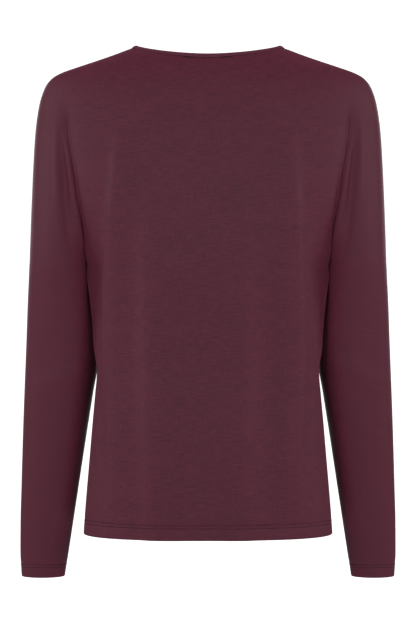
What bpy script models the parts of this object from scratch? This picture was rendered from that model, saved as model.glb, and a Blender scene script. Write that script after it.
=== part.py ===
"""A long-sleeved jersey top, worn-looking and hollow, with nobody in it.

The top is cut like a kimono: the back and the front each carry half of both sleeves, and meet in one seam
along the shoulder and overarm, and one along the side and underarm. A narrow binding closes the neck.
The form is worked out from level sections. From the shoulder to the underarm a section is one smooth curve
over torso and arm, which splits lower down into two tubes, torso and sleeve, that meet in a hanging fold.
Below the underarm the torso and the sleeves are tubes of their own.

Axes: +Z up, the back faces +Y, the front faces -Y. The origin is in the middle of the neck opening, level
with the high points of the shoulders. Sizes and tables are in millimetres, and MM turns them to metres.
"""

import math
from functools import lru_cache

import bmesh
import bpy
from mathutils import Vector

for item in list(bpy.data.objects):
    bpy.data.objects.remove(item, do_unlink=True)

MM = 0.001

# Cloth, seams and turned edges
WALL = 1.6
TURNED_WALL = 2.6  # cloth turned in at the hem and the cuffs
HEM_BAND = 17.0
CUFF_BAND = 15.0
BAND_STEP = 1.5  # height over which the wall thickens
SEAM_GAP = 0.3
BINDING_WIDTH = 6.5
SHARP_ANGLE = 50.0  # faces that meet at a wider angle, such as a cut edge's, are not shaded smooth

# Heights, from the high point of the shoulder
UNDERARM = -280.0
HEM = -629.3
CUFF = -691.5

# The neck's edge: half its width, and how far it dips at the centre back and front
NECK_HALF = 91.5
NECK_DROP = {"back": 16.3, "front": 90.0}
NECK_CURVE = {"back": 1.75, "front": 2.1}

# Roundness of the level sections, as exponents of a superellipse (2 is an ellipse)
YOKE_ROUND = 2.5
TORSO_ROUND = 2.5

# Where the smooth section starts to split into torso and sleeve, and where it has done so
SPLIT = {"back": (-64.0, -115.0), "front": (-130.0, -200.0)}
EDGE_ROLL = {"back": 3.0, "front": 1.5}  # how far the torso's edge hangs over the fold and the sleeve
ROLL_REACH = 13.0  # from the fold to where the edge hangs over furthest
ROLL_END = (-385.0, -440.0)  # where that edge fades out below
FOLD_SINK = 7.0
FOLD_REACH = 10.0
FOLD_FADE = 60.0  # height over which the sunken fold fades out to the underarm

# The height by which the columns that start on the neck's edge have spread out over the section
FAN_END = {"back": -78.0, "front": -150.0}

# Mesh: columns from the centre to the fold and on to the overarm seam, and rows
TORSO_COLUMNS = 12
SLEEVE_COLUMNS = 8
YOKE_ROWS = 18
TORSO_ROWS = 11
SLEEVE_ROWS = 16
COLUMNS = TORSO_COLUMNS + SLEEVE_COLUMNS
FOLD_SHARE = TORSO_COLUMNS / COLUMNS
YOKE_CROWDING = 1.25  # rows lie closer together towards the underarm
TORSO_CROWDING = 1.6
SLEEVE_CROWDING = 1.5
PATH_STEPS = 150


class Table:
    """Rows of sizes by height, read on a smooth curve that doesn't overshoot its rows."""

    def __init__(self, names, rows):
        self.heights = [row[0] for row in rows]
        self.columns = {name: [row[i + 1] for row in rows] for i, name in enumerate(names)}

    @lru_cache(maxsize=None)
    def slopes(self, name):
        heights = self.heights
        values = self.columns[name]
        chords = [
            (values[k + 1] - values[k]) / (heights[k + 1] - heights[k]) for k in range(len(values) - 1)
        ]
        inner = [
            2 * a * b / (a + b) if a * b > 0 else 0.0 for a, b in zip(chords, chords[1:])
        ]
        return [chords[0], *inner, chords[-1]]

    def at(self, name, height):
        heights = self.heights
        values = self.columns[name]
        slopes = self.slopes(name)
        k = 0
        while k < len(heights) - 2 and height < heights[k + 1]:
            k += 1
        span = heights[k + 1] - heights[k]
        t = min(1.0, max(0.0, (height - heights[k]) / span))
        ease_in = t * t * (3 - 2 * t)
        bend = t * (1 - t)
        return (
            values[k] * (1 - ease_in)
            + values[k + 1] * ease_in
            + span * bend * ((1 - t) * slopes[k] - t * slopes[k + 1])
        )


# The outline from the back, down the shoulder, the overarm and the sleeve: half the width over both sleeves
OUTLINE = Table(
    ("outer",),
    [
        (0.0, 91.5),
        (-5.2, 104.0),
        (-13.8, 126.0),
        (-22.2, 150.0),
        (-30.0, 173.5),
        (-37.2, 193.0),
        (-43.6, 203.0),
        (-55.0, 211.3),
        (-78.0, 218.6),
        (-113.0, 223.6),
        (-157.0, 226.3),
        (-201.0, 228.3),
        (-240.0, 229.9),
        (-280.0, 231.5),
        (-340.0, 235.2),
        (-410.0, 238.8),
        (-491.0, 242.5),
        (-576.0, 245.5),
        (-618.0, 246.8),
        (-658.0, 247.2),
        (-691.5, 245.5),
    ],
)

# The torso. side: half width, above the underarm at the edge that hangs over the fold. back, front: depth at
# the centre. seam: how far behind the middle the side seam hangs.
TORSO = Table(
    ("side", "back", "front", "seam"),
    [
        (0.0, 79.0, 42.0, 30.0, 0.0),
        (-4.5, 89.5, 49.5, 33.0, 0.0),
        (-12.0, 108.0, 60.0, 38.5, 0.0),
        (-20.0, 128.0, 68.0, 45.5, 0.0),
        (-28.0, 147.0, 73.5, 52.0, 0.0),
        (-36.0, 163.0, 78.0, 58.0, 0.0),
        (-43.0, 171.0, 81.5, 62.5, 0.0),
        (-55.0, 177.5, 86.5, 69.0, 0.0),
        (-78.0, 180.5, 93.5, 79.0, 0.0),
        (-113.0, 176.7, 101.0, 91.0, 0.0),
        (-157.0, 169.7, 107.0, 104.0, 0.0),
        (-201.0, 163.7, 110.5, 113.5, 0.0),
        (-240.0, 158.5, 112.0, 118.0, 0.0),
        (-280.0, 154.6, 111.5, 119.0, 0.0),
        (-285.0, 153.7, 111.3, 119.0, 0.1),
        (-300.0, 151.4, 110.5, 118.5, 1.5),
        (-330.0, 147.5, 108.0, 116.0, 4.0),
        (-363.0, 144.0, 106.0, 113.0, 5.0),
        (-409.0, 142.3, 105.0, 110.0, 5.0),
        (-448.0, 145.6, 107.0, 111.0, 4.0),
        (-489.0, 149.3, 110.0, 113.0, 4.0),
        (-530.0, 152.8, 112.5, 115.0, 3.0),
        (-572.0, 156.4, 114.5, 117.0, 3.0),
        (-613.0, 159.7, 116.5, 118.5, 2.0),
        (-629.3, 160.7, 117.0, 119.0, 2.0),
    ],
)

# The sleeve. inner: its inner side's distance from the middle plane, which lies within the torso above the
# underarm. under, over: where its underarm and its overarm line hang, forward is negative. arm: half depth.
SLEEVE = Table(
    ("inner", "under", "over", "arm"),
    [
        (-60.0, 94.0, 0.0, 0.0, 61.0),
        (-78.0, 97.0, 0.0, 0.0, 62.0),
        (-113.0, 104.0, 0.0, 0.0, 63.0),
        (-157.0, 118.0, 0.0, 0.0, 65.0),
        (-201.0, 135.0, 0.0, -1.0, 66.0),
        (-240.0, 147.5, 0.0, -3.5, 66.0),
        (-280.0, 154.6, 0.0, -8.5, 64.5),
        (-285.0, 155.1, -0.6, -9.4, 64.2),
        (-297.0, 153.7, -4.5, -11.8, 63.4),
        (-312.0, 151.6, -10.0, -15.0, 62.2),
        (-340.0, 147.6, -19.5, -21.5, 59.6),
        (-375.0, 143.4, -28.0, -28.5, 56.2),
        (-410.0, 144.3, -33.0, -33.0, 53.0),
        (-450.0, 150.7, -37.0, -37.0, 49.5),
        (-491.0, 157.4, -41.0, -41.0, 45.5),
        (-533.0, 164.0, -44.0, -44.0, 41.5),
        (-576.0, 170.6, -47.0, -47.0, 37.5),
        (-618.0, 177.1, -49.0, -49.0, 33.5),
        (-658.0, 183.3, -51.0, -51.0, 30.0),
        (-691.5, 188.7, -52.0, -52.0, 27.5),
    ],
)

# The largest soft folds that run down the cloth: on the back or the front, x and height where each starts and
# ends, its half width, and how far it stands out (or in, below zero)
FOLD_FULLNESS = 0.7  # below 1 a fold keeps its height for longer before it fades out at its ends
FOLDS = (
    # panel, x top, x bottom, top, bottom, half width, height
    ("back", 117.0, 115.0, -180.0, -470.0, 12.0, 2.8),
    ("back", 137.0, 134.0, -180.0, -450.0, 10.0, -2.4),
    ("back", 87.0, 80.0, -350.0, -640.0, 17.0, 2.4),
    ("back", -114.0, -117.0, -140.0, -470.0, 12.0, 3.0),
    ("back", -133.0, -136.0, -150.0, -450.0, 10.0, -2.6),
    ("back", -58.0, -62.0, -320.0, -640.0, 24.0, 2.2),
    ("back", -112.0, -119.0, -430.0, -640.0, 11.0, 1.8),
    ("back", 206.0, 204.0, -95.0, -250.0, 9.0, 2.0),
    ("back", 190.0, 177.0, -100.0, -262.0, 9.0, -2.0),
    ("back", -207.0, -203.0, -95.0, -250.0, 9.0, 2.2),
    ("back", -191.0, -178.0, -100.0, -262.0, 9.0, -2.2),
    ("front", 112.0, 98.0, -210.0, -470.0, 14.0, 2.8),
    ("front", 60.0, 66.0, -330.0, -640.0, 18.0, 2.6),
    ("front", -108.0, -100.0, -190.0, -440.0, 14.0, 3.0),
    ("front", -52.0, -64.0, -380.0, -640.0, 18.0, 2.2),
    ("front", 200.0, 190.0, -150.0, -262.0, 9.0, 2.0),
    ("front", -201.0, -189.0, -140.0, -262.0, 9.0, 2.2),
)

# The largest folds across the sleeves, round the elbow: x sign, height at the middle of the sleeve, how
# much a fold climbs towards its outer side, half height, and how far it stands out
ELBOW_FOLDS = (
    # x sign, height, climb, half height, height of fold
    (1, -372.0, 0.45, 13.0, 1.8),
    (1, -428.0, -0.50, 15.0, 2.4),
    (1, -486.0, 0.40, 15.0, 1.8),
    (-1, -362.0, 0.40, 14.0, 1.8),
    (-1, -420.0, -0.55, 15.0, 2.2),
    (-1, -492.0, 0.45, 16.0, 2.0),
)


def ease(start, end, value):
    """0 at start, 1 at end and smooth between."""
    t = min(1.0, max(0.0, (value - start) / (end - start)))
    return t * t * (3 - 2 * t)


def quarter(half_width, depth, roundness, angle):
    """A point of a superellipse's quarter, from the depth axis (angle 0) to the width axis (pi / 2)."""
    power = 2 / roundness
    return half_width * math.sin(angle) ** power, depth * max(0.0, math.cos(angle)) ** power


def fold_angle(height):
    """Where the torso's edge lies on the smooth section, as an angle of that section."""
    share = TORSO.at("side", height) / OUTLINE.at("outer", height)
    return math.asin(share ** (YOKE_ROUND / 2))


def smooth_section(panel, height, share):
    """A point of the smooth curve over torso and arm. share runs from 0, the centre, to 1, the overarm."""
    turn = fold_angle(height)
    if share <= FOLD_SHARE:
        angle = turn * share / FOLD_SHARE
    else:
        angle = turn + (math.pi / 2 - turn) * (share - FOLD_SHARE) / (1 - FOLD_SHARE)
    return quarter(OUTLINE.at("outer", height), TORSO.at(panel, height), YOKE_ROUND, angle)


def edge_roll(panel, height, off):
    """How far the torso's edge hangs out, at a distance behind the fold or the side seam."""
    reach = ROLL_REACH * (1 + ease(UNDERARM, ROLL_END[0], height))
    reaches = max(0.0, off) / reach
    return EDGE_ROLL[panel] * (1 - ease(*ROLL_END, height)) * reaches * math.exp(1 - reaches)


def split_section(panel, height, share):
    """The same point where torso and sleeve are two tubes, which meet in the hanging fold."""
    outer = OUTLINE.at("outer", height)
    edge = TORSO.at("side", height)
    depth = TORSO.at(panel, height)
    arm = SLEEVE.at("arm", height)
    inner = SLEEVE.at("inner", height)
    half = (outer - inner) / 2
    middle = (outer + inner) / 2
    meet = math.acos(max(-1.0, (edge - middle) / half))
    fold_depth = arm * math.sin(meet)
    hang = ease(UNDERARM, UNDERARM + FOLD_FADE, height)
    if share <= FOLD_SHARE:
        last = math.acos((fold_depth / depth) ** (TORSO_ROUND / 2))
        side = edge / math.sin(last) ** (2 / TORSO_ROUND)
        x, y = quarter(side, depth, TORSO_ROUND, last * share / FOLD_SHARE)
        off = y - fold_depth
        x += edge_roll(panel, height, off)
    else:
        angle = meet * (1 - share) / (1 - FOLD_SHARE)
        x = middle + half * math.cos(angle)
        y = arm * math.sin(angle)
        off = x - edge
    y -= hang * FOLD_SINK * math.exp(-((off / FOLD_REACH) ** 2))
    return x, y


def yoke_point(panel, height, share):
    """A point of the form above the underarm."""
    smooth = smooth_section(panel, height, share)
    apart = ease(*SPLIT[panel], height)
    if apart > 0:
        split = split_section(panel, height, share)
        smooth = [s + (t - s) * apart for s, t in zip(smooth, split)]
    point = place(panel, *smooth, height)
    point.y += SLEEVE.at("over", height) * max(0.0, share - FOLD_SHARE) / (1 - FOLD_SHARE)
    return point


def place(panel, x, away, height):
    """A point given by its distance from the middle plane towards the back or the front."""
    return Vector((x, away if panel == "back" else -away, height))


def neck_place(panel, angle):
    """Height and share, on that height's section, of a point of the neck's edge seen square on."""
    power = 2 / NECK_CURVE[panel]
    x = NECK_HALF * math.sin(angle) ** power
    height = -NECK_DROP[panel] * max(0.0, math.cos(angle)) ** power
    reach = math.asin(min(1.0, x / OUTLINE.at("outer", height)) ** (YOKE_ROUND / 2))
    turn = fold_angle(height)
    if reach <= turn:
        return height, FOLD_SHARE * reach / turn
    return height, FOLD_SHARE + (1 - FOLD_SHARE) * (reach - turn) / (math.pi / 2 - turn)


@lru_cache(maxsize=None)
def neck_edge(panel):
    """Places along the neck's edge from the centre to the shoulder, and the length up to each."""
    places = [neck_place(panel, math.pi / 2 * k / PATH_STEPS) for k in range(PATH_STEPS + 1)]
    points = [yoke_point(panel, *spot) for spot in places]
    lengths = [0.0]
    for a, b in zip(points, points[1:]):
        lengths.append(lengths[-1] + (b - a).length)
    return places, lengths


def neck_start(panel, share):
    """Where a column starts on the neck's edge; the columns are evenly spaced there."""
    places, lengths = neck_edge(panel)
    k, t = found(lengths, share * lengths[-1])
    return [a + (b - a) * t for a, b in zip(places[k], places[k + 1])]


def found(lengths, length):
    """The step in which a length falls, and how far into that step."""
    k = 0
    while k < len(lengths) - 2 and lengths[k + 1] < length:
        k += 1
    return k, min(1.0, (length - lengths[k]) / (lengths[k + 1] - lengths[k]))


@lru_cache(maxsize=None)
def yoke_path(panel, share):
    """The run of one column from the neck's edge to the underarm's level, and the length along it."""
    top, first = neck_start(panel, share)
    points = []
    for k in range(PATH_STEPS + 1):
        height = top + (UNDERARM - top) * k / PATH_STEPS
        fan = ease(top, FAN_END[panel], height)
        points.append(yoke_point(panel, height, first + (share - first) * fan))
    lengths = [0.0]
    for a, b in zip(points, points[1:]):
        lengths.append(lengths[-1] + (b - a).length)
    return points, lengths


def along(panel, share, length):
    """The point at a length along a column's run from the neck's edge."""
    points, lengths = yoke_path(panel, share)
    k, t = found(lengths, length)
    return points[k].lerp(points[k + 1], t)


def torso_point(panel, height, share):
    """A point of the torso below the underarm; share is 0 at the centre and 1 at the side seam."""
    seam = TORSO.at("seam", height)
    depth = TORSO.at(panel, height) + (-seam if panel == "back" else seam)
    x, away = quarter(TORSO.at("side", height), depth, TORSO_ROUND, share * math.pi / 2)
    point = place(panel, x + edge_roll(panel, height, away), away, height)
    point.y += seam
    return point


def sleeve_point(panel, height, share):
    """A point of the right sleeve below the underarm; share is 0 on the underarm and 1 on the overarm."""
    outer = OUTLINE.at("outer", height)
    inner = SLEEVE.at("inner", height)
    angle = math.pi * (1 - share)
    x = (outer + inner) / 2 + (outer - inner) / 2 * math.cos(angle)
    point = place(panel, x, SLEEVE.at("arm", height) * math.sin(angle), height)
    under = SLEEVE.at("under", height)
    point.y += under + (SLEEVE.at("over", height) - under) * share
    return point


def mirrored(point, sign):
    return Vector((point.x * sign, point.y, point.z))


def band_heights(top, band_top, bottom, rows, crowding):
    """Heights of a tube's rows, with a close pair where its turned edge begins."""
    plain_end = band_top + BAND_STEP
    heights = [top + (plain_end - top) * (k / rows) ** crowding for k in range(rows + 1)]
    return heights + [band_top, (band_top + bottom) / 2, bottom]


TORSO_HEIGHTS = band_heights(UNDERARM, HEM + HEM_BAND, HEM, TORSO_ROWS, TORSO_CROWDING)
SLEEVE_HEIGHTS = band_heights(UNDERARM, CUFF + CUFF_BAND, CUFF, SLEEVE_ROWS, SLEEVE_CROWDING)


def distance(a, b):
    return (a.co - b.co).length


class Form:
    """The outer surface of the whole top, front and back in one, from which each wall is made."""

    def __init__(self):
        self.bm = bmesh.new()
        self.vertices = {}
        self.walls = {}
        self.faces = {"back": [], "front": []}

    def vertex(self, panel, key, point, wall=WALL):
        """Adds a point once; the two panels share those on their seams."""
        on_seam = key[-1] == "seam"
        key = key if on_seam else (panel, *key)
        if key not in self.vertices:
            self.vertices[key] = self.bm.verts.new(point)
            self.walls[self.vertices[key]] = wall
        return self.vertices[key]

    def quads(self, panel, grid, sign):
        """Faces of a grid of points whose columns run away from the middle; sign is the side of x.

        A face is cut into triangles from its first corner, which is chosen for the shorter cut.
        """
        outward = (panel == "back") == (sign > 0)
        for upper, lower in zip(grid, grid[1:]):
            for k in range(len(upper) - 1):
                corners = [upper[k], upper[k + 1], lower[k + 1], lower[k]]
                if distance(upper[k + 1], lower[k]) < distance(upper[k], lower[k + 1]):
                    corners = [*corners[1:], corners[0]]
                if not outward:
                    corners = [corners[0], *corners[:0:-1]]
                self.faces[panel].append(self.bm.faces.new(corners))


def yoke_grid(form, panel, sign):
    grid = []
    for i in range(YOKE_ROWS + 1):
        along_share = 1 - (1 - i / YOKE_ROWS) ** YOKE_CROWDING
        row = []
        for j in range(COLUMNS + 1):
            share = j / COLUMNS
            total = yoke_path(panel, share)[1][-1]
            lap = BINDING_WIDTH + SEAM_GAP
            point = mirrored(along(panel, share, lap + (total - lap) * along_share), sign)
            if j == 0:
                key = ("centre", i)
            elif j == COLUMNS:
                key = ("over", sign, i, "seam")
            elif i == YOKE_ROWS and j == TORSO_COLUMNS:
                key = ("underarm", sign, "seam")
            else:
                key = ("yoke", sign, i, j)
            row.append(form.vertex(panel, key, point))
        grid.append(row)
    form.quads(panel, grid, sign)
    return grid[-1]


def torso_grid(form, panel, sign, first_row):
    grid = [first_row[: TORSO_COLUMNS + 1]]
    for i, height in enumerate(TORSO_HEIGHTS[1:]):
        wall = TURNED_WALL if height <= HEM + HEM_BAND else WALL
        row = []
        for j in range(TORSO_COLUMNS + 1):
            point = mirrored(torso_point(panel, height, j / TORSO_COLUMNS), sign)
            key = ("torso", sign if j else 0, i, j)
            if j == TORSO_COLUMNS:
                key += ("seam",)
            row.append(form.vertex(panel, key, point, wall))
        grid.append(row)
    form.quads(panel, grid, sign)


def sleeve_grid(form, panel, sign, first_row):
    grid = [first_row[TORSO_COLUMNS:]]
    for i, height in enumerate(SLEEVE_HEIGHTS[1:]):
        wall = TURNED_WALL if height <= CUFF + CUFF_BAND else WALL
        row = []
        for j in range(SLEEVE_COLUMNS + 1):
            point = mirrored(sleeve_point(panel, height, j / SLEEVE_COLUMNS), sign)
            key = ("sleeve", sign, i, j)
            if j in (0, SLEEVE_COLUMNS):
                key += ("seam",)
            row.append(form.vertex(panel, key, point, wall))
        grid.append(row)
    form.quads(panel, grid, sign)


def fold_height(panel, point):
    """How far the soft folds lift the cloth of a panel at a point."""
    lift = 0.0
    for on, x_top, x_bottom, top, bottom, half, height in FOLDS:
        if on != panel or not bottom < point.z < top:
            continue
        down = (top - point.z) / (top - bottom)
        middle = x_top + (x_bottom - x_top) * down
        fade = math.sin(math.pi * down) ** FOLD_FULLNESS
        lift += height * fade * math.exp(-(((point.x - middle) / half) ** 2))
    return lift


def elbow_height(point):
    """How far the folds round the elbow lift the cloth of a sleeve at a point below the underarm."""
    half_width = (OUTLINE.at("outer", point.z) - SLEEVE.at("inner", point.z)) / 2
    across = abs(point.x) - SLEEVE.at("inner", point.z) - half_width
    lift = 0.0
    for sign, middle, climb, half, height in ELBOW_FOLDS:
        if sign * point.x > 0:
            off = point.z - middle - climb * across
            lift += height * math.exp(-((off / half) ** 2)) * (1 - (across / half_width) ** 2)
    return lift


def build_form():
    form = Form()
    for panel in ("back", "front"):
        for sign in (1, -1):
            first_row = yoke_grid(form, panel, sign)
            torso_grid(form, panel, sign, first_row)
            sleeve_grid(form, panel, sign, first_row)
    form.bm.normal_update()
    for key, vertex in form.vertices.items():
        if key[-1] != "seam":
            lift = elbow_height(vertex.co) if key[1] == "sleeve" else fold_height(key[0], vertex.co)
            vertex.co += vertex.normal * lift
    form.bm.normal_update()
    for sign in (1, -1):
        turn_fold_normals(form, sign)
    return form


def turn_fold_normals(form, sign):
    """Points the hanging fold's bottom line straight out of the fold, round under the arm."""
    underarm = form.vertices[("underarm", sign, "seam")]
    underarm.normal = (0, 0, -1)
    for panel in ("back", "front"):
        line = [form.vertices[(panel, "yoke", sign, i, TORSO_COLUMNS)] for i in range(YOKE_ROWS)] + [underarm]
        for above, vertex, below in zip(line, line[1:], line[2:]):
            run = below.co - above.co
            if vertex.co.z < SPLIT[panel][1]:
                out = Vector((0, -run.z, run.y)) if panel == "back" else Vector((0, run.z, -run.y))
                vertex.normal = out.normalized()


def material(name, colour, roughness):
    made = bpy.data.materials.new(name)
    made.use_nodes = True
    shader = made.node_tree.nodes["Principled BSDF"]
    shader.inputs["Base Color"].default_value = (*colour, 1.0)
    shader.inputs["Roughness"].default_value = roughness
    shader.inputs["Metallic"].default_value = 0.0
    return made


def add_object(name, points, faces, cloth):
    mesh = bpy.data.meshes.new(name)
    mesh.from_pydata([point * MM for point in points], [], faces)
    mesh.validate()
    mesh.shade_smooth()
    mesh.set_sharp_from_angle(angle=math.radians(SHARP_ANGLE))
    mesh.materials.append(cloth)
    made = bpy.data.objects.new(name, mesh)
    bpy.context.scene.collection.objects.link(made)
    return made


def add_panel(form, panel, cloth):
    """One wall of cloth: the form's faces, the same faces inside, and a rim round the open edge."""
    faces = form.faces[panel]
    own = {vertex: k for k, vertex in enumerate(dict.fromkeys(v for face in faces for v in face.verts))}
    seam = {vertex for key, vertex in form.vertices.items() if key[-1] == "seam"}
    part = Vector((0, SEAM_GAP / 2 if panel == "back" else -SEAM_GAP / 2, 0))
    outside = [vertex.co + (part if vertex in seam else Vector()) for vertex in own]
    inside = [point - vertex.normal * form.walls[vertex] for point, vertex in zip(outside, own)]
    count = len(outside)
    outer_faces = [[own[vertex] for vertex in face.verts] for face in faces]
    # the inner face starts at the same corner, so that both are cut along the same diagonal
    inner_faces = [[face[0] + count, *(k + count for k in reversed(face[1:]))] for face in outer_faces]
    edges = {(face[k - 1], face[k]) for face in outer_faces for k in range(len(face))}
    order = {vertex: k for k, vertex in enumerate(form.walls)}
    rank = {k: order[vertex] for vertex, k in own.items()}
    rim = []
    for a, b in sorted(edges):
        if (b, a) in edges:
            continue
        if rank[a] < rank[b]:  # both panels cut the rim's twisted faces the same way
            rim += [(b, a, b + count), (a, a + count, b + count)]
        else:
            rim += [(b, a, a + count), (b, a + count, b + count)]
    return add_object(panel, outside + inside, outer_faces + inner_faces + rim, cloth)


# The binding's section, from its free edge to its seam: share of its width, and how far its outer and inner
# faces stand from the form
BINDING_SECTION = (
    # share, outer face, inner face
    (0.0, 0.0, -1.3),
    (0.18, 0.7, -1.9),
    (0.5, 0.9, -2.1),
    (0.82, 0.7, -2.0),
    (1.0, 0.1, -1.7),
)


def add_binding(cloth):
    """A ring round the neck, on the form's own columns, so that it meets both panels all the way."""
    stations = [("back", 1, j) for j in range(COLUMNS)]
    stations += [("front", 1, j) for j in range(COLUMNS, 0, -1)]
    stations += [("front", -1, j) for j in range(COLUMNS)]
    stations += [("back", -1, j) for j in range(COLUMNS, 0, -1)]
    bm = bmesh.new()
    strip = []
    for panel, sign, j in stations:
        strip.append([
            bm.verts.new(mirrored(along(panel, j / COLUMNS, share * BINDING_WIDTH), sign))
            for share, _, _ in BINDING_SECTION
        ])
    for here, there in zip(strip, strip[1:] + strip[:1]):
        for k in range(len(BINDING_SECTION) - 1):
            bm.faces.new((here[k], there[k], there[k + 1], here[k + 1]))
    bm.normal_update()
    points = []
    for column in strip:
        outer = [v.co + v.normal * out for v, (_, out, _) in zip(column, BINDING_SECTION)]
        inner = [v.co + v.normal * into for v, (_, _, into) in zip(column, BINDING_SECTION)]
        points += outer + inner[::-1]
    bm.free()
    ring = 2 * len(BINDING_SECTION)
    count = len(strip)
    faces = []
    for i in range(count):
        for k in range(ring):
            here = i * ring
            there = (i + 1) % count * ring
            after = (k + 1) % ring
            faces.append((here + k, there + k, there + after, here + after))
    return add_object("neck_binding", points, faces, cloth)


PLUM = (0.078, 0.025, 0.037)
DARK_PLUM = (0.068, 0.021, 0.032)

top = build_form()
add_panel(top, "back", material("plum jersey, back", PLUM, 0.7))
add_panel(top, "front", material("plum jersey, front", PLUM, 0.7))
top.bm.free()
add_binding(material("plum jersey, binding", DARK_PLUM, 0.7))
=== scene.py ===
"""The looks of a long-sleeved plum jersey top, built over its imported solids.

The cloth is fine single jersey, cut like a kimono: the back and the front each carry half of both sleeves. It
keeps the filled-out form of a top that is worn, with soft folds where the sleeves hang from the shoulders.
Sizes are in millimetres until a mesh is made, where MM turns them to metres. +Z is up, the back faces +Y.
"""

import math
from functools import lru_cache

import bpy
import numpy as np
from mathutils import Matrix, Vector


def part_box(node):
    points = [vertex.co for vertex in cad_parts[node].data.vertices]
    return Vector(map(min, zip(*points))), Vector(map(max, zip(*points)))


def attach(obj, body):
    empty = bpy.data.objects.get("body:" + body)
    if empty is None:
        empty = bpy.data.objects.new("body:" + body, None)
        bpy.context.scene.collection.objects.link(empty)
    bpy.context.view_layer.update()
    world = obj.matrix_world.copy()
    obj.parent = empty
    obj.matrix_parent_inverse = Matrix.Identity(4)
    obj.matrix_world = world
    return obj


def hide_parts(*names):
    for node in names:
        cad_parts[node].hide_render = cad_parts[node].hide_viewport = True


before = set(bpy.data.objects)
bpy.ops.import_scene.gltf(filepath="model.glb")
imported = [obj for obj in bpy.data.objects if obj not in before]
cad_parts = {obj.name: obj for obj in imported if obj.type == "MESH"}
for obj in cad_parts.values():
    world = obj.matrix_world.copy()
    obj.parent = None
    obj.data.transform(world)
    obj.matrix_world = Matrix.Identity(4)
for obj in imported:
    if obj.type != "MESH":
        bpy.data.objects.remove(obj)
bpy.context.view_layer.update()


# ---- The form of the body and sleeves ----------------------------------------------------------------------
# One smooth skin over back and front, as the cut hangs on a general figure. From the shoulder down its level
# sections split into a torso and two sleeves, which meet in a hanging fold until the underarm parts them.

MM = 0.001

UNDERARM = -280.0
HEM = -629.3
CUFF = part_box("back")[0].z / MM
HEM_BAND = 17.0
CUFF_BAND = 15.0

NECK_HALF = 91.5
NECK_DROP = {"back": 16.3, "front": 90.0}
NECK_CURVE = {"back": 1.75, "front": 2.1}  # exponents of the neck's superellipse
BINDING_WIDTH = 6.5

SECTION_ROUND = 2.5  # of the level sections, as the exponent of a superellipse (2 is an ellipse)
SPLIT = {"back": (-64.0, -115.0), "front": (-130.0, -200.0)}  # between these torso and sleeve part
EDGE_ROLL = {"back": 3.0, "front": 1.5}  # how far the torso's edge hangs over the fold and the sleeve
ROLL_REACH = 13.0
ROLL_END = (-385.0, -440.0)
FOLD_SINK = 3.5  # how far the cloth draws in at the hanging fold; it fades out towards the underarm
FOLD_REACH = 7.0
FOLD_FADE = 60.0
FAN_END = {"back": -78.0, "front": -150.0}  # by here the columns that start at the neck have spread out

FOLD_SHARE = 0.6  # of a level section's columns, from the centre to the fold; the rest run over the sleeve
PATH_STEPS = 150


class Table:
    """Rows of sizes by height, read on a smooth curve that doesn't overshoot its rows."""

    def __init__(self, names, rows):
        self.heights = [row[0] for row in rows]
        self.columns = {name: [row[i + 1] for row in rows] for i, name in enumerate(names)}

    @lru_cache(maxsize=None)
    def slopes(self, name):
        heights = self.heights
        values = self.columns[name]
        chords = [
            (values[k + 1] - values[k]) / (heights[k + 1] - heights[k]) for k in range(len(values) - 1)
        ]
        inner = [2 * a * b / (a + b) if a * b > 0 else 0.0 for a, b in zip(chords, chords[1:])]
        return [chords[0], *inner, chords[-1]]

    @lru_cache(maxsize=None)
    def at(self, name, height):
        heights = self.heights
        values = self.columns[name]
        slopes = self.slopes(name)
        k = 0
        while k < len(heights) - 2 and height < heights[k + 1]:
            k += 1
        span = heights[k + 1] - heights[k]
        t = min(1.0, max(0.0, (height - heights[k]) / span))
        ease_in = t * t * (3 - 2 * t)
        bend = t * (1 - t)
        curve = span * bend * ((1 - t) * slopes[k] - t * slopes[k + 1])
        return values[k] * (1 - ease_in) + values[k + 1] * ease_in + curve


# Half the width over both sleeves, down the shoulder, the overarm and the sleeve
OUTLINE = Table(
    ("outer",),
    [
        (0.0, 91.5),
        (-5.2, 104.0),
        (-13.8, 126.0),
        (-22.2, 150.0),
        (-30.0, 173.5),
        (-37.2, 193.0),
        (-43.6, 203.0),
        (-55.0, 211.3),
        (-78.0, 218.6),
        (-113.0, 223.6),
        (-157.0, 226.3),
        (-201.0, 228.3),
        (-240.0, 229.9),
        (-280.0, 231.5),
        (-340.0, 235.2),
        (-410.0, 238.8),
        (-491.0, 242.5),
        (-576.0, 245.5),
        (-618.0, 246.8),
        (-658.0, 247.2),
        (-691.5, 245.5),
    ],
)

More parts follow.
